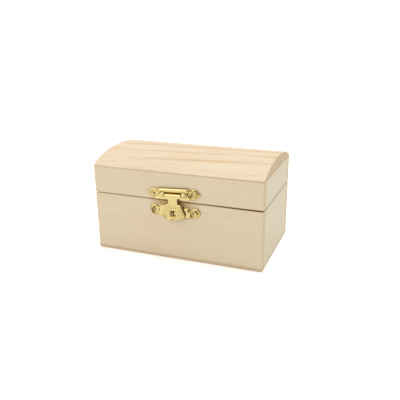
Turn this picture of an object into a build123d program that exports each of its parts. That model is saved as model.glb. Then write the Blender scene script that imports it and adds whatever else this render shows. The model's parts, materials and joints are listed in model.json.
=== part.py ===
from build123d import *
import os
from math import cos, radians, sin

# Treasure chest box: glued pine boards, a domed lid on two butt hinges and a hasp latch.
# X runs to the right along the front, Y from the front to the back, and Z up.
# The origin is the middle of the underside. Lengths are in millimetres, angles in degrees.

# Wooden case
box_width = 120.0
box_depth = 72.0
base_height = 41.7
lid_gap = 0.4
lid_wall_height = 18.6
board_thickness = 5.0
corner_radius = 1.0
foot_edge_radius = 1.1
rim_edge_radius = 0.6
rim_end_radius = 1.5
lid_edge_radius = 0.35
seam_bevel = 0.25
overrun = 1.0

# Bottom panel, let into a rebate round the walls
panel_thickness = 3.0
panel_rebate = 2.5

# Domed top board: a long crown arc between two tighter shoulder arcs, over a narrow square edge
dome_rise = 8.0
dome_edge_height = 0.5
dome_crown_radius = 110.0
dome_crown_half_width = 20.0
dome_end_radius = 0.5

# Screws. The cover is the wood left past a screw's tip.
screw_clearance = 0.03
screw_cover = 0.7
latch_head_radius = 1.75
latch_head_height = 1.1
latch_head_rim = 0.35
latch_shank_radius = 0.8
latch_point_length = 1.6
latch_recess_width = 0.6
latch_recess_length = 2.6
latch_recess_depth = 0.6
hinge_head_radius = 1.4
hinge_head_height = 0.6
hinge_head_rim = 0.15
hinge_shank_radius = 0.55
hinge_point_length = 1.2
hinge_recess_width = 0.45
hinge_recess_length = 1.9
hinge_recess_depth = 0.35

# Latch, pressed from sheet. The upper plate was screwed on a little off level. The screws, the
# catch's nose and the hasp's hole all sit a little to the left of the plates' middles.
latch_sheet = 0.6
latch_x = -0.3
latch_axis_rise = 4.4
latch_tilt = 3.0
latch_screw_spacing = 27.2
latch_pin_radius = 0.55
latch_pin_clearance = 0.05
latch_knuckle_wall = 0.65
latch_knuckle_standoff = 0.3
latch_knuckle_length = 2.8
latch_knuckle_end_radius = 0.7
latch_side_gap = 0.3
latch_corner_radius = 0.45

upper_plate_half_width = 19.0
upper_plate_top = 4.6
upper_plate_bottom = 3.3
upper_plate_point_zone = 1.0
upper_screw_shift = -1.4
upper_screw_drop = 0.35
window_above = 2.1
window_below = 1.6
bead_height = 3.15
bead_half_length = 9.6
bead_radius = 1.15
bead_sink = 0.2

hasp_curl_half_width = 5.6
hasp_strap_half_width = 3.2
hasp_shield_half_width = 7.9
hasp_length = 17.2
hasp_hole_drop = 12.1
hasp_hole_radius = 2.25
hasp_hole_shift = -0.45
hasp_lean = 2.5
hasp_shoulder_drop = 1.9
hasp_shoulder_chamfer = 0.6

lower_plate_half_width = 18.2
lower_plate_top = 4.3
lower_plate_bottom = 3.2
lower_plate_point_zone = 0.3
lower_screw_shift = -1.5
lower_screw_drop = 0.6
nose_shift = -1.5
nose_root_radius = 1.2
nose_tip_radius = 0.95
nose_height = 2.0
nose_round = 0.4
nose_bore_radius = 0.45
nose_bore_depth = 1.2

# Hinges, one near each end of the back. The inset runs from the case's end to a hinge's middle.
hinge_inset = 27.0
hinge_width = 18.0
hinge_leaf_height = 8.0
hinge_sheet = 0.7
hinge_corner_radius = 0.8
hinge_knuckle_radius = 1.4
hinge_standoff = 0.3
hinge_pin_radius = 0.65
hinge_pin_clearance = 0.05
hinge_pin_head_radius = 1.0
hinge_pin_head_height = 0.4
hinge_knuckle_gap = 0.15
hinge_notch_gap = 0.3
hinge_screw_spacing = 11.0
hinge_screw_rise = 5.0

# Outlines of the pressed plates, right half, clockwise from the top.
# Each pair is a share of the half width and a share of the height above or below the centre.
upper_plate_shares = [
    (0.60, 1.0), (0.63, 0.74), (0.68, 0.90), (0.82, 0.90),
    (1.0, 0.15), (0.88, -0.45), (0.72, -0.92), (0.55, -1.0),
]
lower_plate_shares = [
    (0.30, 0.95), (0.56, 1.0), (0.615, 0.72), (0.69, 0.90), (0.88, 1.0), (1.0, 0.44),
    (0.965, -0.22), (0.85, -0.78), (0.66, -1.0), (0.42, -0.90), (0.29, -0.65),
]
# Shares of the shield's half width and of the hasp's length below the pin
shield_shares = [(0.70, 0.36), (1.0, 0.765), (0.93, 0.87), (0.64, 0.95), (0.33, 0.955)]
strap_foot_share = 0.33

# Worked out from the sizes above
lid_bottom = base_height + lid_gap
split_height = base_height + lid_gap / 2
dome_seat = lid_bottom + lid_wall_height
inner_width = box_width - 2 * board_thickness
inner_depth = box_depth - 2 * board_thickness
screw_reach = board_thickness - screw_cover
latch_shank_length = latch_sheet + screw_reach
hinge_shank_length = hinge_sheet + screw_reach
latch_bore_radius = latch_pin_radius + latch_pin_clearance
latch_knuckle_radius = latch_bore_radius + latch_knuckle_wall
latch_axis_out = latch_knuckle_radius + latch_knuckle_standoff
hinge_axis_out = hinge_knuckle_radius + hinge_standoff
hinge_bore_radius = hinge_pin_radius + hinge_pin_clearance

# Places on the box. On each the local X runs along the wall, Y is up and Z points out of the wood.
front_wall = Plane(origin=(0, -box_depth / 2, split_height), x_dir=(1, 0, 0), z_dir=(0, -1, 0))
back_wall = Plane(origin=(0, box_depth / 2, split_height), x_dir=(-1, 0, 0), z_dir=(0, 1, 0))
upper_latch = front_wall.location * Pos(latch_x, latch_axis_rise, 0) * Rot(0, 0, latch_tilt)
nose_drop = hasp_hole_drop * cos(radians(hasp_lean))
lower_latch = front_wall.location * Pos(
    latch_x + nose_drop * sin(radians(latch_tilt)),
    latch_axis_rise - nose_drop * cos(radians(latch_tilt)),
    0,
)
hinge_places = {
    "left": back_wall.location * Pos(box_width / 2 - hinge_inset, 0, 0),
    "right": back_wall.location * Pos(hinge_inset - box_width / 2, 0, 0),
}


def slab(x0, x1, y0, y1, z0, z1):
    """A block between two corners."""
    return Pos((x0 + x1) / 2, (y0 + y1) / 2, (z0 + z1) / 2) * Box(x1 - x0, y1 - y0, z1 - z0)


def case_block(bottom, top):
    """The outside of the case between two heights, with its upright corners eased."""
    block = slab(-box_width / 2, box_width / 2, -box_depth / 2, box_depth / 2, bottom, top)
    return fillet(block.edges().filter_by(Axis.Z), corner_radius)


def edge_loop(block, top):
    """The outer edges of a block's top or bottom face."""
    return block.faces().sort_by(Axis.Z)[-1 if top else 0].outer_wire().edges()


def screw(head_radius, head_height, rim, shank_radius, length, point, width, reach, depth):
    """A cross-recess screw with a low round head. Its head sits on Z 0 and its shank points down."""
    outline = Polyline(
        (0, head_height), (0, -length), (shank_radius, point - length), (shank_radius, 0),
        (head_radius, 0), (head_radius, rim),
    )
    crown = TangentArc((0, head_height), (head_radius, rim), tangent=(1, 0))
    body = revolve(Plane.XZ * make_face(outline + crown), Axis.Z)
    slot = Pos(0, 0, head_height) * Box(reach, width, 2 * depth)
    return body - slot - Rot(0, 0, 90) * slot


def latch_screw():
    return Pos(0, 0, latch_sheet) * screw(
        latch_head_radius, latch_head_height, latch_head_rim, latch_shank_radius,
        latch_shank_length, latch_point_length, latch_recess_width, latch_recess_length,
        latch_recess_depth,
    )


def hinge_screw():
    return Pos(0, 0, hinge_sheet) * screw(
        hinge_head_radius, hinge_head_height, hinge_head_rim, hinge_shank_radius,
        hinge_shank_length, hinge_point_length, hinge_recess_width, hinge_recess_length,
        hinge_recess_depth,
    )


def screw_hole(shank_radius):
    """The hole that a screw's shank fills, through its plate and into the wood."""
    return Cylinder(shank_radius + screw_clearance, 2 * screw_reach)


def upper_screw_places():
    return [
        upper_latch * Pos(upper_screw_shift + side * latch_screw_spacing / 2, -upper_screw_drop, 0)
        for side in (-1, 1)
    ]


def lower_screw_places():
    return [
        lower_latch * Pos(lower_screw_shift + side * latch_screw_spacing / 2, -lower_screw_drop, 0)
        for side in (-1, 1)
    ]


def hinge_screw_places(side, direction):
    """The two screws of one leaf. The direction is 1 for the lid's leaf and -1 for the base's."""
    return [
        hinge_places[side] * Pos(end * hinge_screw_spacing / 2, direction * hinge_screw_rise, 0)
        for end in (-1, 1)
    ]


def drilled(solid, places, shank_radius):
    for place in places:
        solid -= place * screw_hole(shank_radius)
    return solid


def hinge_drilled(solid, direction):
    for side in hinge_places:
        solid = drilled(solid, hinge_screw_places(side, direction), hinge_shank_radius)
    return solid


def walls(block):
    """Cuts a hollow block into the front and back boards and the side boards between them."""
    x, y = box_width / 2, box_depth / 2
    z0, z1 = block.bounding_box().min.Z, block.bounding_box().max.Z
    return {
        "front_board": block & slab(-x, x, -y, board_thickness - y, z0, z1),
        "back_board": block & slab(-x, x, y - board_thickness, y, z0, z1),
        "left_board": block & slab(-x, board_thickness - x, -inner_depth / 2, inner_depth / 2, z0, z1),
        "right_board": block & slab(x - board_thickness, x, -inner_depth / 2, inner_depth / 2, z0, z1),
    }


def bottom_panel():
    x = inner_width / 2 + panel_rebate
    y = inner_depth / 2 + panel_rebate
    return slab(-x, x, -y, y, 0, panel_thickness)


def sanded_ends():
    """A block as wide as the base. Its upper end edges are rounder than the rim's long ones."""
    x, y = box_width / 2, box_depth / 2 + overrun
    block = slab(-x, x, -y, y, -overrun, base_height)
    return fillet(block.edges().filter_by(Axis.Y).group_by(Axis.Z)[-1], rim_end_radius)


def base_boards():
    block = case_block(0, base_height)
    block = fillet(edge_loop(block, False), foot_edge_radius)
    block = fillet(edge_loop(block, True), rim_edge_radius) & sanded_ends()
    block -= slab(
        -inner_width / 2, inner_width / 2, -inner_depth / 2, inner_depth / 2,
        -overrun, base_height + overrun,
    )
    boards = walls(block - bottom_panel())
    boards["front_board"] = drilled(boards["front_board"], lower_screw_places(), latch_shank_radius)
    boards["back_board"] = hinge_drilled(boards["back_board"], -1)
    boards["bottom_panel"] = bottom_panel()
    return boards


def lid_boards():
    block = case_block(lid_bottom, dome_seat)
    block = fillet(edge_loop(block, False), lid_edge_radius)
    block = chamfer(edge_loop(block, True), seam_bevel)
    block -= slab(
        -inner_width / 2, inner_width / 2, -inner_depth / 2, inner_depth / 2,
        lid_bottom - overrun, dome_seat + overrun,
    )
    boards = walls(block)
    boards["front_board"] = drilled(boards["front_board"], upper_screw_places(), latch_shank_radius)
    boards["back_board"] = hinge_drilled(boards["back_board"], 1)
    boards["domed_top"] = domed_top()
    return boards


def domed_top():
    """A solid board, flat below and crowned above, whose end grain shows at both ends of the lid.

    It meets the walls at a fine groove, bevelled on both sides of the glue line."""
    half = box_depth / 2
    crown_centre = dome_rise - dome_edge_height - dome_crown_radius
    turn_sin = dome_crown_half_width / dome_crown_radius
    turn_cos = (1 - turn_sin**2) ** 0.5
    offset = (dome_crown_radius**2 - half**2 - crown_centre**2) / (
        2 * (dome_crown_radius + crown_centre * turn_cos - half * turn_sin)
    )
    crown_end = crown_centre + dome_crown_radius * turn_cos + dome_edge_height
    shoulder_radius = dome_crown_radius - offset
    profile = [
        Polyline((-half, dome_edge_height), (-half, 0), (half, 0), (half, dome_edge_height)),
        RadiusArc((half, dome_edge_height), (dome_crown_half_width, crown_end), -shoulder_radius),
        RadiusArc(
            (dome_crown_half_width, crown_end), (-dome_crown_half_width, crown_end),
            -dome_crown_radius,
        ),
        RadiusArc((-dome_crown_half_width, crown_end), (-half, dome_edge_height), -shoulder_radius),
    ]
    face = Plane.YZ * make_face(profile)
    board = Pos(0, 0, dome_seat) * extrude(face, box_width / 2, both=True)
    arcs = board.edges().filter_by(GeomType.CIRCLE)
    board = fillet(arcs, dome_end_radius)
    board &= case_block(dome_seat, dome_seat + dome_rise + overrun)
    return chamfer(edge_loop(board, False), seam_bevel)


def mirrored(points):
    """The left half's points, from the right half's, going on round the outline."""
    return [(-x, y) for x, y in reversed(points)]


def pressed_plate(shares, half_width, top, bottom, point_zone):
    """A flat plate with softened corners and a sharp point at each end, on Z 0."""
    points = [(x * half_width, y * (top if y > 0 else bottom)) for x, y in shares]
    face = make_face(Polyline(*points, *mirrored(points), close=True))
    blunt = [v for v in face.vertices() if abs(v.X) < half_width - point_zone]
    return extrude(fillet(blunt, latch_corner_radius), latch_sheet)


def along_pin(shape, x0, x1):
    """Turns a shape of length x1 - x0 on Z to lie along the latch's pin."""
    return Pos((x0 + x1) / 2, 0, latch_axis_out) * Rot(0, 90, 0) * shape


def upper_plate():
    """The plate on the lid: a window for the hasp's curl between two knuckles, under a raised bead."""
    plate = pressed_plate(
        upper_plate_shares, upper_plate_half_width, upper_plate_top, upper_plate_bottom,
        upper_plate_point_zone,
    )
    window_x = hasp_curl_half_width + latch_side_gap
    plate -= slab(-window_x, window_x, -window_below, window_above, -overrun, latch_sheet + overrun)
    bead = Pos(0, bead_height, latch_sheet - bead_sink) * Rot(0, 90, 0) * Cylinder(
        bead_radius, 2 * bead_half_length
    )
    bead = fillet(bead.edges().filter_by(GeomType.CIRCLE), bead_radius - bead_sink)
    plate += bead - slab(
        -bead_half_length - overrun, bead_half_length + overrun,
        bead_height - bead_radius - overrun, bead_height + bead_radius + overrun,
        -bead_radius, 0,
    )
    outer = window_x + latch_knuckle_length
    for side in (-1, 1):
        knuckle = Cylinder(latch_knuckle_radius, latch_knuckle_length)
        rim = knuckle.edges().filter_by(GeomType.CIRCLE).sort_by(Axis.Z)[-1]
        knuckle = fillet(rim, latch_knuckle_end_radius)
        knuckle -= Pos(0, 0, -latch_knuckle_end_radius) * Cylinder(
            latch_bore_radius, latch_knuckle_length
        )
        turned = Rot(0, 0, 0) if side > 0 else Rot(180, 0, 0)
        plate += along_pin(turned * knuckle, side * window_x, side * outer)
    return drilled(upper_latch * plate, upper_screw_places(), latch_shank_radius)


def latch_pin():
    reach = (
        hasp_curl_half_width + latch_side_gap + latch_knuckle_length
        - latch_knuckle_end_radius - latch_side_gap
    )
    return upper_latch * along_pin(Cylinder(latch_pin_radius, 2 * reach), -reach, reach)


def hasp():
    """The curl round the pin, and the strap and shield that hang from it, with the catch's hole."""
    points = [
        (hasp_curl_half_width, 0),
        (hasp_curl_half_width, hasp_shoulder_chamfer - hasp_shoulder_drop),
        (hasp_curl_half_width - hasp_shoulder_chamfer, -hasp_shoulder_drop),
        (hasp_strap_half_width, -hasp_shoulder_drop),
        (hasp_strap_half_width, -strap_foot_share * hasp_length),
    ]
    points += [(x * hasp_shield_half_width, -y * hasp_length) for x, y in shield_shares]
    tongue = make_face(Polyline(*points, (0, -hasp_length), *mirrored(points), close=True))
    rounded = [v for v in tongue.vertices() if v.Y < -hasp_shoulder_drop - latch_corner_radius]
    tongue = extrude(fillet(rounded, latch_corner_radius), latch_sheet)
    hole = Cylinder(hasp_hole_radius, 2 * (latch_sheet + overrun))
    tongue -= Pos(hasp_hole_shift, -hasp_hole_drop, 0) * hole
    tongue = Pos(0, 0, latch_knuckle_radius - latch_sheet) * tongue
    curl = Rot(0, 90, 0) * Cylinder(latch_knuckle_radius, 2 * hasp_curl_half_width)
    bore = Rot(0, 90, 0) * Cylinder(latch_bore_radius, 2 * (hasp_curl_half_width + overrun))
    return upper_latch * Pos(0, 0, latch_axis_out) * Rot(-hasp_lean, 0, 0) * (tongue + curl - bore)


def lower_plate():
    """The plate on the base, with the hollow nose that stands in the hasp's hole."""
    plate = pressed_plate(
        lower_plate_shares, lower_plate_half_width, lower_plate_top, lower_plate_bottom,
        lower_plate_point_zone,
    )
    nose = Pos(nose_shift, 0, latch_sheet + nose_height / 2) * Cone(
        nose_root_radius, nose_tip_radius, nose_height
    )
    nose = fillet(nose.edges().filter_by(GeomType.CIRCLE).sort_by(Axis.Z)[-1], nose_round)
    plate += nose
    plate -= Pos(nose_shift, 0, latch_sheet + nose_height) * Cylinder(
        nose_bore_radius, 2 * nose_bore_depth
    )
    return drilled(lower_latch * plate, lower_screw_places(), latch_shank_radius)


def hinge_leaf(direction):
    """One leaf with its knuckles, upright on the wood: 1 is the lid's, -1 the base's."""
    half = hinge_width / 2
    third = hinge_width / 3
    notch = hinge_knuckle_radius + hinge_notch_gap
    leaf = slab(-half, half, 0, hinge_leaf_height, 0, hinge_sheet)
    corners = leaf.edges().filter_by(Axis.Z).group_by(Axis.Y)[-1]
    leaf = fillet(corners, hinge_corner_radius)
    if direction > 0:
        spans = [(hinge_knuckle_gap - third / 2, third / 2 - hinge_knuckle_gap)]
        notches = [(-half - overrun, -third / 2), (third / 2, half + overrun)]
    else:
        spans = [(-half, -third / 2), (third / 2, half)]
        notches = [(-third / 2, third / 2)]
    for x0, x1 in notches:
        leaf -= slab(
            x0 - hinge_knuckle_gap, x1 + hinge_knuckle_gap, -overrun, notch,
            -overrun, hinge_sheet + overrun,
        )
    for x0, x1 in spans:
        tube = Cylinder(hinge_knuckle_radius, x1 - x0) - Cylinder(hinge_bore_radius, x1 - x0)
        leaf += Pos((x0 + x1) / 2, 0, hinge_axis_out) * Rot(0, 90, 0) * tube
    for end in (-1, 1):
        place = Pos(end * hinge_screw_spacing / 2, hinge_screw_rise, 0)
        leaf -= place * screw_hole(hinge_shank_radius)
    return leaf if direction > 0 else mirror(leaf, Plane.XZ)


def hinge_pin():
    """A riveted pin: a plain shaft with a low head outside each end knuckle."""
    pin = Cylinder(hinge_pin_radius, hinge_width)
    for side in (-1, 1):
        height = hinge_width / 2 + hinge_pin_head_height / 2
        pin += Pos(0, 0, side * height) * Cylinder(hinge_pin_head_radius, hinge_pin_head_height)
    return Pos(0, 0, hinge_axis_out) * Rot(0, 90, 0) * pin


def hinge(side):
    place = hinge_places[side]
    pieces = {"hinge_pin": place * hinge_pin()}
    for body, direction in (("base", -1), ("lid", 1)):
        screws = [spot * hinge_screw() for spot in hinge_screw_places(side, direction)]
        pieces[f"hinge_{body}_leaf"] = place * hinge_leaf(direction)
        pieces[f"hinge_{body}_screws"] = Compound(children=screws)
    return pieces


def nodes():
    """Every node of the box by name."""
    found = {f"base_{name}": board for name, board in base_boards().items()}
    found |= {f"lid_{name}": board for name, board in lid_boards().items()}
    found["latch_upper_plate"] = upper_plate()
    found["latch_hasp"] = hasp()
    found["latch_pin"] = latch_pin()
    found["latch_lower_plate"] = lower_plate()
    found["latch_upper_screws"] = Compound(
        children=[place * latch_screw() for place in upper_screw_places()]
    )
    found["latch_lower_screws"] = Compound(
        children=[place * latch_screw() for place in lower_screw_places()]
    )
    for side in hinge_places:
        found |= {f"{side}_{name}": piece for name, piece in hinge(side).items()}
    return found


os.makedirs("parts", exist_ok=True)
for name, shape in nodes().items():
    export_step(shape, f"parts/{name}.step")
    print(name, round(shape.volume, 1))
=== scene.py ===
import json
from math import cos, pi, radians, sin

import bmesh
import bpy
import numpy as np
from mathutils import Euler, Matrix, Vector


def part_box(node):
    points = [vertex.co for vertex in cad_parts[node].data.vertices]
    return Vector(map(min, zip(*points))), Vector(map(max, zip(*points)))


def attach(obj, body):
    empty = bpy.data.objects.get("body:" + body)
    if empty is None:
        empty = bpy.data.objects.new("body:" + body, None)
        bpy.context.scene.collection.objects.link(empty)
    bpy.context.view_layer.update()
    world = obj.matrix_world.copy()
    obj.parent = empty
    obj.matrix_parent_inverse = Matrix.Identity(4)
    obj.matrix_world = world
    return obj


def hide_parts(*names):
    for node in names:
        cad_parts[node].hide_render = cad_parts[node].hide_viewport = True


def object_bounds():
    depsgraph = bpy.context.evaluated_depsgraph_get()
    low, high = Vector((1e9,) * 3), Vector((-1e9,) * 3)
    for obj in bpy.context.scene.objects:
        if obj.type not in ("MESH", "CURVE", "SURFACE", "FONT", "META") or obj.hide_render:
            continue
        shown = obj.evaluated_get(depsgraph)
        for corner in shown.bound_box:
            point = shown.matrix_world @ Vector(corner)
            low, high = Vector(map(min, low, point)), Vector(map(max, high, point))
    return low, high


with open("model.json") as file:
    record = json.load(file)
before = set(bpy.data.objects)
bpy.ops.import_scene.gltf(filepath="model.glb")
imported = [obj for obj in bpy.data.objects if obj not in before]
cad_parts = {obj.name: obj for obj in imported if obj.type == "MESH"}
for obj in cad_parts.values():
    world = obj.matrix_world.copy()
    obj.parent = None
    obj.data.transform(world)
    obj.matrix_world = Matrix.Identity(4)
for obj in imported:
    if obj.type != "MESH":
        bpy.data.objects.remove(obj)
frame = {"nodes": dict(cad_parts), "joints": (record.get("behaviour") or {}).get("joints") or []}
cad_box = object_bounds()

mm = 0.001


# The photographer's place. The lens stands to the right of the front and looks down a little,
# turned by half a degree, as the picture shows. Its angle of view is given for a square picture.
camera_azimuth = radians(21.28)
camera_elevation = radians(19.36)
camera_distance = 360.2 * mm
camera_target = Vector((6.29, -6.0, 33.47)) * mm
camera_roll = radians(-0.63)
lens_length = 45.79
sensor_side = 36.0

to_camera = Vector((
    sin(camera_azimuth) * cos(camera_elevation),
    -cos(camera_azimuth) * cos(camera_elevation),
    sin(camera_elevation),
))
camera = bpy.data.objects.new("camera", bpy.data.cameras.new("camera"))
camera.data.lens = lens_length
camera.data.sensor_width = sensor_side
camera.data.clip_start = 10 * mm
camera.data.clip_end = 20.0
camera.location = camera_target + to_camera * camera_distance
camera.rotation_euler = (
    (-to_camera).to_track_quat("-Z", "Y").to_matrix() @ Matrix.Rotation(camera_roll, 3, "Z")
).to_euler()
bpy.context.scene.collection.objects.link(camera)
bpy.context.scene.camera = camera
bpy.context.scene.view_settings.view_transform = "Standard"


def colour(code):
    """The linear colour that a shader takes, from an sRGB hex value."""
    shares = [int(code[at:at + 2], 16) / 255 for at in (0, 2, 4)]
    linear = [s / 12.92 if s <= 0.04045 else ((s + 0.055) / 1.055) ** 2.4 for s in shares]
    return (*linear, 1.0)


def add(tree, kind, inputs, **settings):
    """Adds a node of that kind, with its settings, and its inputs as values or links."""
    node = tree.nodes.new("ShaderNode" + kind)
    for name, value in settings.items():
        setattr(node, name, value)
    for name, value in inputs.items():
        if isinstance(value, bpy.types.NodeSocket):
            tree.links.new(value, node.inputs[name])
        else:
            node.inputs[name].default_value = value
    return node


def new_material(name, **surface):
    """A material of that name, its node tree and its one shader, with the shader's own values."""
    material = bpy.data.materials.new(name)
    material.use_nodes = True
    shader = material.node_tree.nodes["Principled BSDF"]
    for socket, value in surface.items():
        shader.inputs[socket.replace("_", " ")].default_value = value
    return material, material.node_tree, shader


# Floor and studio light. The floor is a lit sheet of white acrylic, burnt out as in the picture,
# so hardly any shadow stays. A tall soft box stands in front on the left and a square one hangs
# above, inside a white tent that is lit like the floor at its back and is open round the lens.
floor_half = 6.0
acrylic, _, _ = new_material(
    "lit white acrylic", Base_Color=colour("F4F4F4"), Roughness=0.9,
    Emission_Color=colour("FFFFFF"), Emission_Strength=0.36,
)
floor_mesh = bmesh.new()
bmesh.ops.create_grid(floor_mesh, x_segments=1, y_segments=1, size=floor_half)
floor = bpy.data.objects.new("floor", bpy.data.meshes.new("floor"))
floor_mesh.to_mesh(floor.data)
floor_mesh.free()
floor.data.materials.append(acrylic)
bpy.context.scene.collection.objects.link(floor)
box_centre = Vector((0, 0, 35 * mm))


def soft_box(name, place, width, height, power, shade):
    """A lamp with a white cloth front, turned to the middle of the box."""
    lamp = bpy.data.lights.new(name, "AREA")
    lamp.shape = "RECTANGLE"
    lamp.size = width
    lamp.size_y = height
    lamp.energy = power
    lamp.color = colour(shade)[:3]
    holder = bpy.data.objects.new(name, lamp)
    holder.location = place
    holder.rotation_euler = (box_centre - Vector(place)).to_track_quat("-Z", "Y").to_euler()
    bpy.context.scene.collection.objects.link(holder)


def set_levels(ramp, levels):
    """Gives a ramp those levels of grey, each at its position from 0 to 1."""
    while len(ramp.elements) < len(levels):
        ramp.elements.new(1.0)
    for step, (position, level) in zip(ramp.elements, levels):
        step.position = position
        step.color = (level, level, level, 1)


soft_box("key_light", (-0.39, -0.74, 0.47), width=0.3, height=0.55, power=1.8, shade="FFFAF2")
soft_box("top_light", (0.10, 0.15, 0.95), width=0.5, height=0.5, power=3.7, shade="FFF9F0")

# How bright the tent is, from right behind the box at 0 to the lens at 1
tent_levels = ((0.09, 1.02), (0.3, 0.8), (0.725, 0.8), (0.97, 0.4))
tent = bpy.data.worlds.new("white tent")
tent.use_nodes = True
way = add(tent.node_tree, "TexCoord", {}).outputs["Generated"]
to_lens = add(tent.node_tree, "VectorMath", {0: way, 1: to_camera}, operation="DOT_PRODUCT")
from_back = add(tent.node_tree, "MapRange", {
    "Value": to_lens.outputs["Value"], "From Min": -1.0, "From Max": 1.0,
}).outputs[0]
cloth = add(tent.node_tree, "ValToRGB", {"Fac": from_back})
cloth.color_ramp.interpolation = "EASE"
set_levels(cloth.color_ramp, tent_levels)
backdrop = tent.node_tree.nodes["Background"]
backdrop.inputs["Color"].default_value = colour("FFFFFF")
tent.node_tree.links.new(cloth.outputs["Color"], backdrop.inputs["Strength"])
bpy.context.scene.world = tent


# The boards. They are bare sanded pine, sawn along the grain and glued edge to face, so the
# ends of the front and back boards show at the sides, and growth rings run on through each.
case_early = "D4C5A9"
case_late = "C7B191"
side_early = "CABDA0"
side_late = "BDAB88"
sanded_end = "F4EADC"
side_roughness = 0.42

# The brown lines: painted shade along the foot, painted shade in the split where the saw parted the
# lid from the base, the glue under the top, and painted shade with a painted yellow reflection of
# the brass on the wood between the latch's plates. Each has its height, half width and tint, and
# its strengths from the left end to the right.
split = (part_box("base_front_board")[1].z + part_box("lid_front_board")[0].z) / 2
glue_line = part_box("lid_domed_top")[0].z
# The foot line is painted shade, darker near the floor
painted_foot_shade = (0.0, 3.4 * mm, "E7DED2", ((0.0, 1.0), (1.0, 1.0)))
# The split line is painted shade in the gap, stronger towards the right end
painted_split_shade = (split, 0.75 * mm, "8E5A10", ((0.0, 0.03), (0.5, 0.26), (0.8, 0.7), (0.93, 1.0)))
glued = (glue_line, 0.75 * mm, "E4D2BC", ((0.0, 0.3), (1.0, 0.55)))
# Painted shade and a painted yellow reflection of the brass, on the wood between the latch's plates
painted_latch_shade = (
    split - 1.3 * mm, 2.5 * mm, "D6B264", ((0.34, 0.0), (0.42, 0.8), (0.53, 1.0), (0.67, 0.0)),
)
skin = 0.8 * mm


def browned(tree, place, face, brown_lines):
    """The colour of a face with those brown lines, most of them painted shade, in the skin of the
    case.

    The skin is what reaches past the inner corner, sideways or to the front and back."""
    spot = add(tree, "SeparateXYZ", {"Vector": place}).outputs
    inner = (cad_box[1].x - skin, -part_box("base_front_board")[0].y - skin, 1.0)
    beyond = add(tree, "VectorMath", {0: place}, operation="ABSOLUTE").outputs[0]
    beyond = add(tree, "VectorMath", {0: beyond, 1: inner}, operation="SUBTRACT").outputs[0]
    beyond = add(tree, "SeparateXYZ", {"Vector": beyond}).outputs
    outside = add(tree, "Math", {0: beyond["X"], 1: beyond["Y"]}, operation="MAXIMUM").outputs[0]
    outside = add(tree, "Math", {0: outside, 1: 0.0}, operation="GREATER_THAN").outputs[0]
    length = add(tree, "MapRange", {
        "Value": spot["X"], "From Min": cad_box[0].x, "From Max": cad_box[1].x,
    }).outputs[0]
    for height, reach, tint, strengths in brown_lines:
        away = add(tree, "Math", {0: spot["Z"], 1: height}, operation="SUBTRACT").outputs[0]
        away = add(tree, "Math", {0: away}, operation="ABSOLUTE").outputs[0]
        near = add(tree, "MapRange", {
            "Value": away, "From Min": 0.5 * reach, "From Max": reach, "To Min": 1, "To Max": 0,
        }, interpolation_type="SMOOTHSTEP").outputs[0]
        along = add(tree, "ValToRGB", {"Fac": length})
        set_levels(along.color_ramp, strengths)
        share = add(tree, "Math", {0: near, 1: along.outputs["Color"]}, operation="MULTIPLY")
        share = add(tree, "Math", {0: share.outputs[0], 1: outside}, operation="MULTIPLY")
        face = add(tree, "Mix", {
            0: share.outputs[0], 6: face, 7: colour(tint),
        }, data_type="RGBA", blend_type="MULTIPLY").outputs[2]
    return face


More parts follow.
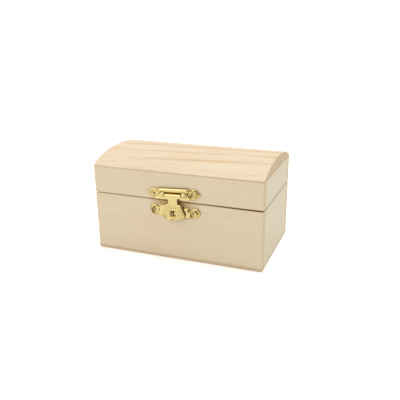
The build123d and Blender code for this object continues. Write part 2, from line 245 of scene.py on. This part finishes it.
def pine(name, grain_turn, pith, ring_width, ring_share, early, late, brown_lines=(),
         roughness=0.62, end_tint=sanded_end, ring_start=-200.0, ring_growth=0.0):
    """Bare sanded pine with its growth rings round a pith line, in millimetres from that line.

    Pale early wood fades into a tan late wood band and breaks off at the next ring, and
    ring_share is how much of the late colour it has. Fibres run along the grain. They are
    thinner than a pixel, so they are drawn 0.4 mm wide. The rings show from ring_start across
    the board, by default from outside it, and get stronger by ring_growth for each millimetre
    along it. The sanding has left the faces dull."""
    material, tree, shader = new_material(name, Roughness=roughness, IOR=1.5)
    place = add(tree, "TexCoord", {})
    board = add(tree, "Mapping", {
        "Vector": place.outputs["Object"],
        "Location": [p * mm for p in pith],
        "Rotation": grain_turn,
        "Scale": (mm, mm, mm),
    }, vector_type="TEXTURE").outputs[0]

    # Rings that wander by 2.5 mm, in slow waves 90 mm long and 25 mm across
    waves = add(tree, "Mapping", {"Vector": board, "Scale": (1 / 90, 1 / 25, 1 / 25)}).outputs[0]
    wander = add(tree, "TexNoise", {"Vector": waves, "Scale": 1.0, "Detail": 3.0}).outputs["Fac"]
    across = add(tree, "VectorMath", {0: board, 1: (0, 1, 1)}, operation="MULTIPLY").outputs[0]
    radius = add(tree, "VectorMath", {0: across}, operation="LENGTH").outputs["Value"]
    moved = add(tree, "Math", {0: wander, 1: 2.5, 2: radius}, operation="MULTIPLY_ADD").outputs[0]
    count = add(tree, "Math", {0: moved, 1: ring_width}, operation="DIVIDE").outputs[0]
    phase = add(tree, "Math", {0: count}, operation="FRACT").outputs[0]
    ring = add(tree, "ValToRGB", {"Fac": phase})
    set_levels(ring.color_ramp, (
        (0.0, 0.25), (0.1, 0.0), (0.62, 0.1), (0.82, 0.85), (0.9, 1.0), (1.0, 0.35),
    ))

    # Fibre streaks, 0.4 mm across and about 14 mm long, cloudy patches of paler wood, 9 mm across
    # and 60 mm long, and dashes of late wood, 1.4 mm across and 24 mm long, where the saw ran
    # out of a ring
    fine = add(tree, "Mapping", {"Vector": board, "Scale": (1 / 14, 1 / 0.4, 1 / 0.4)}).outputs[0]
    fibre = add(tree, "TexNoise", {"Vector": fine, "Scale": 1.0, "Detail": 4.0}).outputs["Fac"]
    broad = add(tree, "Mapping", {"Vector": board, "Scale": (1 / 60, 1 / 9, 1 / 9)}).outputs[0]
    cloud = add(tree, "TexNoise", {"Vector": broad, "Scale": 1.0, "Detail": 2.0}).outputs["Fac"]
    swell = add(tree, "MapRange", {
        "Value": cloud, "From Min": 0.3, "From Max": 0.7, "To Min": 0.5, "To Max": 1.35,
    }).outputs[0]
    dashes = add(tree, "Mapping", {"Vector": board, "Scale": (1 / 24, 1 / 1.4, 1 / 1.4)}).outputs[0]
    dash = add(tree, "TexNoise", {"Vector": dashes, "Scale": 1.0, "Detail": 2.0}).outputs["Fac"]
    dash = add(tree, "MapRange", {
        "Value": dash, "From Min": 0.52, "From Max": 0.75, "To Max": ring_share,
    }).outputs[0]
    late_part = add(tree, "Math", {0: ring.outputs["Color"], 1: ring_share}, operation="MULTIPLY")
    late_part = add(tree, "Math", {0: late_part.outputs[0], 1: swell}, operation="MULTIPLY")

    # The rings fade in over 2.5 mm where they begin, and grow along the board
    spread = add(tree, "SeparateXYZ", {"Vector": board}).outputs
    begun = add(tree, "MapRange", {
        "Value": spread["Y"], "From Min": ring_start, "From Max": ring_start + 2.5,
    }).outputs[0]
    grown = add(tree, "Math", {0: spread["X"], 1: ring_growth, 2: 1.0}, operation="MULTIPLY_ADD")
    begun = add(tree, "Math", {0: begun, 1: grown.outputs[0]}, operation="MULTIPLY").outputs[0]
    late_part = add(tree, "Math", {
        0: late_part.outputs[0], 1: begun, 2: dash,
    }, operation="MULTIPLY_ADD")
    shade = add(tree, "Math", {0: cloud, 1: 0.5, 2: late_part.outputs[0]}, operation="MULTIPLY_ADD")
    shade = add(tree, "Math", {0: fibre, 1: 0.5, 2: shade.outputs[0]}, operation="MULTIPLY_ADD")
    level = add(tree, "MapRange", {"Value": shade.outputs[0], "From Min": 0.3, "From Max": 1.3})
    face = add(tree, "Mix", {
        0: level.outputs[0], 6: colour(early), 7: colour(late),
    }, data_type="RGBA").outputs[2]

    # End grain drinks in light and dirt, so faces square to the grain are a shade browner
    turn = Euler(grain_turn).to_matrix() @ Vector((1, 0, 0))
    facing = add(tree, "VectorMath", {0: place.outputs["Normal"], 1: turn}, operation="DOT_PRODUCT")
    facing = add(tree, "Math", {0: facing.outputs["Value"]}, operation="ABSOLUTE").outputs[0]
    end = add(tree, "MapRange", {"Value": facing, "From Min": 0.9, "From Max": 1.0}).outputs[0]
    face = add(tree, "Mix", {
        0: end, 6: face, 7: colour(end_tint),
    }, data_type="RGBA", blend_type="MULTIPLY").outputs[2]
    face = browned(tree, place.outputs["Object"], face, brown_lines)
    tree.links.new(face, shader.inputs["Base Color"])
    raised = add(tree, "Bump", {"Height": fibre, "Distance": 0.03 * mm, "Strength": 0.6})
    tree.links.new(raised.outputs[0], shader.inputs["Normal"])
    return material


def dress(node, material):
    """Gives a CAD node that material in each of its slots."""
    mesh = frame["nodes"][node].data
    mesh.materials.clear()
    mesh.materials.append(material)


along_x = (0, 0, 0)
along_y = (0, 0, pi / 2)
# The front boards also carry the painted shade between the latch's plates, and the side boards the
# painted foot shade or the glue line
for part, split_lines in (("base", (painted_foot_shade, painted_split_shade)), ("lid", (painted_split_shade, glued))):
    front_lines = split_lines + (painted_latch_shade,)
    side_line = (painted_foot_shade if part == "base" else glued,)
    dress(part + "_front_board", pine(
        "pine %s front" % part, along_x, pith=(0, 20, -90), ring_width=3.2, ring_share=0.05,
        early=case_early, late=case_late, brown_lines=front_lines,
    ))
    dress(part + "_back_board", pine(
        "pine %s back" % part, along_x, pith=(0, -10, 120), ring_width=3.4, ring_share=0.4,
        early=case_early, late=case_late, brown_lines=split_lines,
    ))
    dress(part + "_left_board", pine(
        "pine %s left" % part, along_y, pith=(20, 0, 110), ring_width=3.1, ring_share=0.2,
        early=side_early, late=side_late, brown_lines=side_line, roughness=side_roughness,
    ))
    dress(part + "_right_board", pine(
        "pine %s right" % part, along_y, pith=(-30, 0, -80), ring_width=3.3, ring_share=0.2,
        early=side_early, late=side_late, brown_lines=side_line, roughness=side_roughness,
    ))
dress("base_bottom_panel", pine(
    "pine plywood", along_x, pith=(0, 5, -300), ring_width=6.0, ring_share=0.4,
    early=case_early, late=case_late,
))


# The domed top, one thick pine board planed to a crown. Its rings lie nearly flat, so the late
# wood shows as a few long soft tan bands that drift across the board, and as arcs at its ends.
top_early = "E5D6BD"
top_late = "CEAC80"
planed_end = "DED7C8"
top_turn = (0, 0, radians(3.1))
dress("lid_domed_top", pine(
    "pine top", top_turn, pith=(-40, 18.1, 9.3), ring_width=4.85, ring_share=0.32,
    early=top_early, late=top_late, brown_lines=(glued,), end_tint=planed_end,
    ring_start=-46.8, ring_growth=0.006,
))


# Sheet brass. The latch is blanked from thin brass, pressed between two dies and lacquered, so
# each boss on a face is a hollow on its back. The hollows are painted brown, partly as stain and
# partly as painted shade. Its own sizes are in millimetres.
same_point = 1e-4
hole_sides = 32
eased_edge = 0.12
edge_insets = (0.1, 0.15)
stain_and_shade_depth = 0.42
stain_and_shade_reaches = (0.35, 0.8)
crease = radians(50)


def fade(values, low, high):
    """0 below the low value and 1 above the high one, eased in between."""
    share = np.clip((values - low) / (high - low), 0, 1)
    return share * share * (3 - 2 * share)


def rib(distance, width, height):
    """The height of a rounded rib, at distances from its middle line."""
    return height * np.cos(np.clip(distance / width, -0.5, 0.5) * pi) ** 2


def boss(distance, radius, height):
    """The height of a round boss, at distances from its middle."""
    return height * np.sqrt(np.clip(1 - (distance / radius) ** 2, 0, 1))


def to_line(x, y, start, end):
    """How far each place is from a straight line between two points."""
    run_x = end[0] - start[0]
    run_y = end[1] - start[1]
    along = ((x - start[0]) * run_x + (y - start[1]) * run_y) / (run_x ** 2 + run_y ** 2)
    along = np.clip(along, 0, 1)
    return np.hypot(x - start[0] - along * run_x, y - start[1] - along * run_y)


def to_outline(x, y, outline):
    """How far each place is from the nearest side of a closed outline."""
    sides = zip(outline, outline[1:] + outline[:1])
    return np.min([to_line(x, y, start, end) for start, end in sides], axis=0)


def punch(sheet, centre, radius, reach):
    """Cuts a round hole in a flat blank, whose faces are all small within that reach."""
    turns = [turn * 2 * pi / hole_sides for turn in range(hole_sides)]
    ways = [Vector((cos(turn), sin(turn), 0)) for turn in turns]
    near = [f for f in sheet.faces if (f.calc_center_median() - centre).length < reach]
    cut = list(dict.fromkeys(part for f in near for part in (*f.verts, *f.edges, f)))
    for way in ways:
        cut = bmesh.ops.bisect_plane(
            sheet, geom=cut, dist=same_point, plane_co=centre + way * radius, plane_no=way,
        )["geom"]
    waste = []
    for face in sheet.faces:
        offset = face.calc_center_median() - centre
        if offset.length < reach and max(offset.dot(way) for way in ways) < radius:
            waste.append(face)
    bmesh.ops.delete(sheet, geom=waste, context="FACES")


def stamped(outline, corner, gauge, step, relief, holes=(), window=None):
    """A pressed sheet in millimetres, with its back on Z 0 wherever the relief is 0.

    The relief gives the height at each place, from its x, its y and its distance from the
    edge. A place lower than those round it gets a higher value of the attribute hollow."""
    sheet = bmesh.new()
    rim = sheet.verts.layers.float.new("rim")
    hollow = sheet.verts.layers.float.new("hollow")
    sheet.faces.new([sheet.verts.new((x, y, 0)) for x, y in outline])
    bmesh.ops.bevel(
        sheet, geom=sheet.verts[:], offset=corner, segments=3, profile=0.5,
        affect="VERTICES", material=-1,
    )
    blank = max(sheet.faces, key=lambda face: face.calc_area())
    outline = [(v.co.x, v.co.y) for v in blank.verts]
    depth = 0.0
    for inset in edge_insets:
        bmesh.ops.inset_region(sheet, faces=[blank], thickness=inset, use_even_offset=True)
        depth += inset
        for v in blank.verts:
            v[rim] = depth

    # A fine grid of cuts, also along the window's sides, and then the window and the holes
    xs, ys = zip(*outline)
    cuts = []
    for axis, low, high in ((0, min(xs), max(xs)), (1, min(ys), max(ys))):
        places = np.arange(low + step / 2, high, step).tolist()
        if window:
            for side in (window[axis], window[axis + 2]):
                places = [at for at in places if abs(at - side) > 0.3 * step] + [side]
        cuts += [(axis, at) for at in sorted(places)]
    for axis, at in cuts:
        normal = Vector((1, 0, 0)) if axis == 0 else Vector((0, 1, 0))
        bmesh.ops.bisect_plane(
            sheet, geom=sheet.verts[:] + sheet.edges[:] + sheet.faces[:], dist=same_point,
            plane_co=normal * at, plane_no=normal,
        )
    waste = []
    if window:
        for face in sheet.faces:
            middle = face.calc_center_median()
            if window[0] < middle.x < window[2] and window[1] < middle.y < window[3]:
                waste.append(face)
    bmesh.ops.delete(sheet, geom=waste, context="FACES")
    for x, y, radius in holes:
        punch(sheet, Vector((x, y, 0)), radius, radius + 3 * step)

    # Press the flat blank, and paint it with stain and painted shade where it is lower than the
    # eight sides round it
    x = np.array([v.co.x for v in sheet.verts])
    y = np.array([v.co.y for v in sheet.verts])
    height = relief(x, y, to_outline(x, y, outline))
    around = []
    for turn in range(8):
        for reach in stain_and_shade_reaches:
            side_x = x + reach * cos(turn * pi / 4)
            side_y = y + reach * sin(turn * pi / 4)
            around.append(relief(side_x, side_y, to_outline(side_x, side_y, outline)))
    stains_and_shade = np.clip((np.mean(around, axis=0) - height) / stain_and_shade_depth, 0, 1)
    for v, level, stain_and_shade in zip(sheet.verts, height, stains_and_shade):
        v.co.z = level
        v[hollow] = stain_and_shade

    # Give it its thickness, with its front edge eased
    front = bmesh.ops.extrude_face_region(sheet, geom=sheet.faces[:], use_keep_orig=True)["geom"]
    for v in front:
        if isinstance(v, bmesh.types.BMVert):
            v.co.z += gauge - eased_edge * (1 - min(v[rim] / depth, 1)) ** 2
    return sheet


def lathe(profile, place, steps=32):
    """A solid turned about its place's Z, from points of radius, height, and stain with painted
    shade.
    """
    solid = bmesh.new()
    solid.verts.layers.float.new("rim")
    hollow = solid.verts.layers.float.new("hollow")
    points = []
    for radius, height, stain_and_shade in profile:
        points.append(solid.verts.new((radius, 0, height)))
        points[-1][hollow] = stain_and_shade
    lines = [solid.edges.new(pair) for pair in zip(points, points[1:])]
    bmesh.ops.spin(
        solid, geom=points + lines, cent=(0, 0, 0), axis=(0, 0, 1), angle=2 * pi, steps=steps,
        use_merge=True,
    )
    bmesh.ops.remove_doubles(solid, verts=solid.verts[:], dist=same_point)
    bmesh.ops.transform(solid, matrix=place, verts=solid.verts[:])
    return solid


def piece(name, parts, place, material, slot, body, *nodes):
    """Makes a scene object of parts in millimetres at that place, instead of the CAD nodes."""
    whole = bmesh.new()
    for part in parts:
        held = bpy.data.meshes.new("part")
        part.to_mesh(held)
        part.free()
        whole.from_mesh(held)
        bpy.data.meshes.remove(held)
    bmesh.ops.transform(whole, matrix=place @ Matrix.Scale(mm, 4), verts=whole.verts[:])
    bmesh.ops.recalc_face_normals(whole, faces=whole.faces[:])
    for face in whole.faces:
        face.smooth = True
    made = bpy.data.objects.new(name, bpy.data.meshes.new(name))
    whole.to_mesh(made.data)
    whole.free()
    made.data.set_sharp_from_angle(angle=crease)
    made.data.materials.append(material)
    bpy.context.scene.collection.objects.link(made)
    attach(made, body)
    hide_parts(*nodes)


def brass(name, gold, stains_and_shade=()):
    """Brass, smooth enough to mirror the tent, with its polish wavering in patches 1.5 mm wide.

    Where the attribute hollow rises to a half and to 1, it takes the two colours of stain and
    painted shade."""
    material, tree, shader = new_material(name, Base_Color=colour(gold), Metallic=1.0)
    place = add(tree, "TexCoord", {}).outputs["Object"]
    small = add(tree, "Mapping", {"Vector": place, "Scale": [1 / (1.5 * mm)] * 3}).outputs[0]
    patches = add(tree, "TexNoise", {"Vector": small, "Scale": 1.0, "Detail": 3.0}).outputs["Fac"]
    rough = add(tree, "MapRange", {"Value": patches, "To Min": 0.16, "To Max": 0.26}).outputs[0]
    tree.links.new(rough, shader.inputs["Roughness"])
    if stains_and_shade:
        level = add(tree, "Attribute", {}, attribute_name="hollow").outputs["Fac"]
        stained_and_shaded = add(tree, "ValToRGB", {"Fac": level})
        stained_and_shaded.color_ramp.elements.new(0.5)
        for step, shade in zip(stained_and_shaded.color_ramp.elements, (gold, *stains_and_shade)):
            step.color = colour(shade)
        tree.links.new(stained_and_shaded.outputs["Color"], shader.inputs["Base Color"])
    return material


# The lacquer keeps the latch a pale gold, brown in its hollows with stain and painted shade
latch_brass = brass("lacquered brass latch", "C9B881", ("A8822E", "4E3410"))

# Where the latch's pieces are. Each place has X to the right along its plate, Y up and Z out of
# the wood. The upper plate and the hasp lean with the pin, and the lower plate is level. The
# hasp is also turned about the pin by a little over a degree.
swing = next(joint for joint in frame["joints"] if joint["name"] == "hasp_swing")
pin_middle = Vector(swing["pos_m"])
pin_way = -Vector(swing["axis"]).normalized()
out = Vector((0, -1, 0))
wood_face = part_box("base_front_board")[0].y


def place_of(origin, right):
    """The matrix of a place on the front, with its X to the right and its Z out of the wood."""
    up = out.cross(right)
    return Matrix.Translation(origin) @ Matrix((right, up, out)).transposed().to_4x4()


upper_place = place_of(Vector((pin_middle.x, wood_face, pin_middle.z)), pin_way)
hasp_lean = radians(-1.2)
hasp_place = place_of(pin_middle, pin_way) @ Matrix.Rotation(hasp_lean, 4, "X")
nose_drop = 12.09 * mm
lower_origin = Vector((pin_middle.x, wood_face, pin_middle.z)) - nose_drop * out.cross(pin_way)
lower_place = place_of(lower_origin, Vector((1, 0, 0)))


# Upper plate. A broad half-round bead runs over the window where the hasp's curl turns between
# two rolled knuckles. Each ear has a raised rim, a ring round its screw and two chevrons.
def both_sides(right_half):
    """A closed outline from its right half, which runs clockwise from the top."""
    return right_half + [(-x, y) for x, y in reversed(right_half)]


upper_outline = both_sides([
    (11.4, 4.6), (12.0, 3.6), (12.9, 4.15), (15.6, 4.15),
    (19.2, 0.9), (16.7, -1.5), (13.7, -3.05), (10.5, -3.3),
])
sheet_corner = 0.3
sheet_gauge = 0.6
sheet_step = 0.18
screw_hole = 0.85
screw_spread = 13.6
upper_screws_x = -1.4
upper_screws_y = -0.35
upper_window = (-5.9, -1.6, 5.9, 1.35)
bead_end = 9.4
bead_y = 2.9
bead_radius = 1.62
web_x = 7.3
web_y = 0.75
web_height = 2.1
knuckle_height = 1.55


def screw_holes(middle_x, y):
    """The two screw holes of a plate, each side of that middle."""
    return [(middle_x + side * screw_spread, y, screw_hole) for side in (-1, 1)]


def rim_and_ring(edge, screw):
    """What each ear has: a raised rim inside its edge and a ring round its screw."""
    return rib(edge - 0.5, 0.8, 0.3) + 0.25 * (1 - fade(screw, 1.8, 3.0))


def upper_relief(x, y, edge):
    """The bead, the webs that carry the knuckles, and the ears, the left one half pressed."""
    side = np.abs(x)
    bead = np.hypot(np.maximum(side - bead_end, 0), y - bead_y) / bead_radius
    bead = np.sqrt(np.clip(1 - bead ** np.where(y > bead_y, 3, 2), 0, 1))
    web = np.abs(side - web_x) / np.where(side < web_x, 1.7, 2.7)
    web = web_height * np.sqrt(np.clip(1 - web ** 3 - ((y - web_y) / 1.8) ** 2, 0, 1))
    from_screw = (np.abs(x - upper_screws_x) - screw_spread, y - upper_screws_y)
    screw = np.hypot(*from_screw)
    angle = np.arctan2(from_screw[1], from_screw[0])
    pressed = fade(side, 10.4, 11.2) * np.where(x < 0, 0.55, 1.0)
    tip = fade(side, 15.0, 15.6)
    field = -0.15 * fade(edge, 0.8, 1.1)
    chevrons = tip * (rib(edge - 1.5, 0.55, 0.3) - rib(edge - 2.3, 0.9, 0.3))
    veins = 0.16 * np.cos(9 * angle) * fade(screw, 2.6, 3.0) * fade(edge, 1.0, 1.3) * (1 - tip)
    return np.maximum(bead, web) + pressed * (rim_and_ring(edge, screw) + field + chevrons + veins)


upper_mesh = stamped(
    upper_outline, sheet_corner, sheet_gauge, sheet_step, upper_relief,
    holes=screw_holes(upper_screws_x, upper_screws_y), window=upper_window,
)
# The knuckles' bores are painted darker, as painted shade
knuckle = [
    (0.0, 2.1, 0.25), (0.6, 2.1, 0.25), (0.6, 0.0, 0.25), (1.2, 0.0, 0.0), (1.3, 0.1, 0.0),
    (1.3, 2.0, 0.0), (1.22, 2.35, 0.0), (1.0, 2.65, 0.0), (0.6, 2.83, 0.0), (0.0, 2.9, 0.0),
]
upper_parts = [upper_mesh]
for side in (-1, 1):
    knuckle_place = Matrix.Translation((side * upper_window[2], 0, knuckle_height))
    knuckle_turn = Matrix.Rotation(side * pi / 2, 4, "Y")
    upper_parts.append(lathe(knuckle, knuckle_place @ knuckle_turn))

# A thin strip of the sheet, painted dark as the shade in the slot, closes the window against the
# wood
shade_strip = bmesh.new()
shade_strip.verts.layers.float.new("rim")
painted_slot_shade = shade_strip.verts.layers.float.new("hollow")
shade_strip_place = Matrix.LocRotScale((0, 0, 0.11), None, (12.4, 3.6, 0.16))
bmesh.ops.create_cube(shade_strip, size=1, matrix=shade_strip_place)
for v in shade_strip.verts:
    v[painted_slot_shade] = 0.55
upper_parts.append(shade_strip)
piece(
    "upper_plate", upper_parts, upper_place, latch_brass, "latch_brass", "lid",
    "latch_upper_plate",
)


# Lower plate. It has polished round lobes beside the hasp and ears like the upper plate's, each
# with a slanting groove. Its raised middle carries the nose that the hasp's hole goes over.
lower_outline = both_sides([
    (5.5, 4.1), (10.2, 4.3), (11.2, 3.1), (12.6, 3.85), (16.0, 4.3), (18.2, 1.9),
    (17.55, -0.7), (15.5, -2.5), (12.0, -3.2), (7.6, -3.2), (3.5, -3.6),
])
lower_screws_x = -1.5
lower_screws_y = -0.6
nose_x = -1.3
nose_y = -0.1
lobe_x = 8.1
groove = ((14.4, 2.6), (16.18, 0.6))
stroke = ((-11.6, 1.4), (-11.6, -0.2))


def lower_relief(x, y, edge):
    """The lobes, the right one higher and with a pit, the nose's boss, a stroke and the ears."""
    side = np.abs(x)
    flat = np.abs((side - lobe_x) / 3.2) ** np.where((x > 0) & (x < lobe_x), 6, 3)
    flat += np.abs((y - 0.3) / 3.9) ** np.where(x > 0, 6, 2)
    lobe = np.sqrt(np.clip(1 - flat, 0, 1)) * fade(edge, 0.0, 0.9) * np.where(x < 0, 0.35, 0.95)
    pit = -rib(np.hypot((x - 9.9) * 0.8, y - 2.2), 1.9, 1.1)
    raised = boss(np.hypot(x - nose_x, y - nose_y), 3.6, 0.9)
    screw = np.hypot(np.abs(x - lower_screws_x) - screw_spread, y - lower_screws_y)
    tip = fade(x - y, 11.6, 12.2) * fade(x + y, 13.6, 14.2)
    chevron = tip * rib(edge - 1.3, 0.6, 0.2)
    slant = -rib(to_line(side, y, *groove), 1.5, 0.6)
    ear = fade(side, 11.0, 11.8) * (rim_and_ring(edge, screw) + chevron + slant)
    return lobe + pit + raised + ear - rib(to_line(x, y, *stroke), 1.2, 0.4)


lower_mesh = stamped(
    lower_outline, sheet_corner, sheet_gauge, sheet_step, lower_relief,
    holes=screw_holes(lower_screws_x, lower_screws_y),
)
# The nose's hollow end is painted dark as painted shade, and its root a little, as stain and
# painted shade
nose = [
    (2.0, 0.5, 0.15), (1.75, 0.64, 0.1), (1.58, 1.0, 0.0), (1.24, 2.2, 0.0), (1.1, 3.02, 0.0),
    (0.94, 3.2, 0.0), (0.75, 3.25, 0.0), (0.62, 3.2, 0.1), (0.56, 3.1, 0.6), (0.55, 1.6, 0.8),
    (0.0, 1.6, 0.8),
]
lower_parts = [lower_mesh, lathe(nose, Matrix.Translation((nose_x, nose_y, 0)))]
piece(
    "lower_plate", lower_parts, lower_place, latch_brass, "latch_brass", "base",
    "latch_lower_plate",
)


# Hasp. Its top is rolled round the pin, its strap is plain, and its shield is pressed with a
# rosette of eight petals round the hole, a ring of pearls and a stippled field inside a rim.
curl_half = 5.6
strap_half = 3.2
right_of_hasp = [
    (curl_half, 0.12), (curl_half, -1.3), (5.0, -1.9), (strap_half, -1.9), (strap_half, -5.68),
    (5.53, -6.2), (7.9, -13.16), (7.35, -14.96), (5.06, -16.34), (2.6, -16.43),
]
hasp_outline = both_sides(right_of_hasp)
hasp_outline.insert(len(right_of_hasp), (0.0, -17.2))
hole_x = -0.35
hole_y = -12.1
hole_radius = 2.25
petals = 8
petal_ring = 3.5
pearls = 16
pearl_ring = 5.2
dot_spacing = 1.2
dot_rows = 1.0
curl_inside = 0.65
curl_outside = curl_inside + sheet_gauge
curl_turn = radians(293)
curl_top = 0.5


def hasp_relief(x, y, edge):
    """The rosette, its collar and pearls, and the stippled field inside the shield's rim."""
    radius = np.hypot(x - hole_x, y - hole_y)
    angle = np.arctan2(y - hole_y, x - hole_x) / (2 * pi)
    petal_angle = ((angle * petals) % 1 - 0.5) * 2 * pi / petals
    petal = np.hypot(radius - petal_ring, radius * np.sin(petal_angle) / 0.95)
    petal = boss(petal, 1.0, 0.27)
    pearl_angle = ((angle * pearls) % 1 - 0.5) * 2 * pi / pearls
    pearl = boss(np.hypot(radius - pearl_ring, radius * np.sin(pearl_angle)), 0.55, 0.22)
    collar = rib(radius - 2.45, 0.5, 0.15)
    row = np.round(y / dot_rows)
    dot_x = x - (row % 2) * dot_spacing / 2
    dot_x = dot_x - np.round(dot_x / dot_spacing) * dot_spacing
    dots = boss(np.hypot(dot_x, y - row * dot_rows), 0.42, 0.18)
    dots *= fade(radius, 5.8, 6.0) * fade(edge, 1.1, 1.3)
    rim = rib(edge - 0.55, 0.8, 0.3)
    return fade(-y, 6.0, 6.8) * (np.maximum(petal, np.maximum(pearl, collar)) + rim + dots)


hasp_mesh = stamped(
    hasp_outline, sheet_corner, sheet_gauge, sheet_step, hasp_relief,
    holes=((hole_x, hole_y, hole_radius),),
)
bmesh.ops.translate(hasp_mesh, verts=hasp_mesh.verts[:], vec=(0, 0, curl_inside))
curl_end = both_sides([
    (5.0, curl_outside), (5.4, curl_outside), (5.5, curl_outside),
    (curl_half, curl_outside - 0.1), (curl_half, curl_inside + 0.1), (5.5, curl_inside),
])
end_face = hasp_mesh.faces.new([hasp_mesh.verts.new((x, 0, z)) for x, z in curl_end])
bmesh.ops.spin(
    hasp_mesh, geom=[end_face, *end_face.edges, *end_face.verts], cent=(0, 0, 0),
    axis=(1, 0, 0), angle=-curl_turn, steps=30,
)

# The top of the curl, close under the bead, is painted with the bead's shade
painted_curl_shade = hasp_mesh.verts.layers.float["hollow"]
for v in hasp_mesh.verts:
    if v.co.y > curl_top:
        v[painted_curl_shade] = min(v.co.y - curl_top, 0.5)
piece("hasp", [hasp_mesh], hasp_place, latch_brass, "latch_brass", "hasp", "latch_hasp")


# Screws of steel with a thin brass plating, a little paler than the latch. Each has a low round
# head with a cross recess, painted darker with dirt and painted shade. The upper left one was
# driven with a worn bit, so its recess is shallow.
plating = "D2BE86"
screw_brass = brass("brass-plated steel screws", plating, ("8A5A1E", "4A2E0C"))
head_radius = 1.75
head_corner = 0.01
head_gauge = 0.35
head_step = 0.1
head_seat = 1.1 * mm
arm_length = 1.5
arm_half = 0.58
turns = [step * 2 * pi / hole_sides for step in range(hole_sides)]
round_edge = [(head_radius * cos(turn), head_radius * sin(turn)) for turn in turns]
shank = [(0.0, -0.9, 0), (0.8, -0.9, 0), (0.8, -3.5, 0), (0.0, -4.9, 0)]


def screw_head(recess):
    """A screw's head with a cross recess of that depth, which is deepest in its middle."""
    def crossed(x, y, edge):
        crown = boss(np.hypot(x, y), 2.4, 0.75)
        arms = np.minimum(
            np.maximum(np.abs(x) - arm_length, np.abs(y) - arm_half),
            np.maximum(np.abs(y) - arm_length, np.abs(x) - arm_half),
        )
        deeper = 1 + 0.8 * np.clip(1 - np.hypot(x, y) / arm_length, 0, 1)
        return crown - recess * deeper * (1 - fade(arms, -0.15, 0.1))
    return stamped(round_edge, head_corner, head_gauge, head_step, crossed)


worn_head = screw_head(0.25)
sharp_head = screw_head(0.85)


def screws(name, node, body, heads):
    """New screws on the places of a CAD node's two, from the head and the turn of each."""
    places = [v.co for v in frame["nodes"][node].data.vertices]
    middle = (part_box(node)[0].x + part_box(node)[1].x) / 2
    low_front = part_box(node)[0].y
    for left, (head, turn) in zip((True, False), heads):
        half = [co for co in places if (co.x < middle) == left]
        centre_x = (min(co.x for co in half) + max(co.x for co in half)) / 2
        centre_z = (min(co.z for co in half) + max(co.z for co in half)) / 2
        centre = Vector((centre_x, low_front + head_seat, centre_z))
        place = place_of(centre, Vector((1, 0, 0))) @ Matrix.Rotation(turn, 4, "Z")
        piece(
            name + ("_left" if left else "_right"), [head.copy(), lathe(shank, Matrix())],
            place, screw_brass, "screw_brass", body, node,
        )


screws("upper_screw", "latch_upper_screws", "lid", ((worn_head, 0.5), (sharp_head, 0.35)))
screws("lower_screw", "latch_lower_screws", "base", ((sharp_head, 0.7), (sharp_head, 0.3)))


# Hinges and the latch's pin. Two small butt hinges of brass sheet, rolled round their pins, are
# screwed to the outside of the back. They and the pin that the hasp turns on keep the shapes of
# their CAD solids. Their brass has no hollows, so it is clean and bright all over.
clean_plating = brass("brass-plated steel pin and hinge screws", plating)
hinge_brass = brass("lacquered brass hinges", "D6C386")
dress("latch_pin", clean_plating)
for name in frame["nodes"]:
    if name.startswith(("left_hinge", "right_hinge")):
        dress(name, clean_plating if name.endswith("screws") else hinge_brass)
